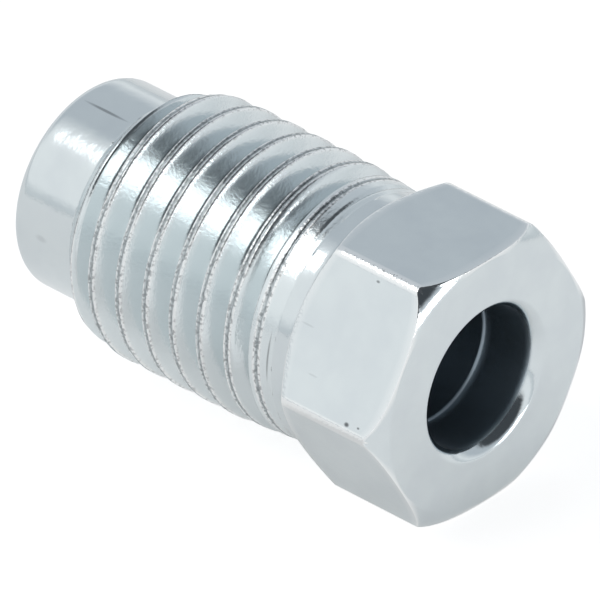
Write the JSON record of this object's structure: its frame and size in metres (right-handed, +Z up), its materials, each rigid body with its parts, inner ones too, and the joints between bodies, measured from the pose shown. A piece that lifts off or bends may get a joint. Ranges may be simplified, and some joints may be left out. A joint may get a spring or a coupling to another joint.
{
  "type": "tube nut",
  "caption": "Hollow hex-headed metal tube nut with an outside thread, a plain pilot nose and a through bore for a fluid pipe.",
  "frame": {"origin": "centre of the bore at the end of the nose", "axes": "+X along the bore from the nose to the head, +Z up, square to the upper flat of the hex; the nut lies on its lower flat"},
  "size_m": [0.0185, 0.0112, 0.0098],
  "materials": {
    "zinc_plated_steel": "bright zinc plating"
  },
  "bodies": {
    "root": {"tube_nut": "zinc_plated_steel"}
  },
  "joints": []
}
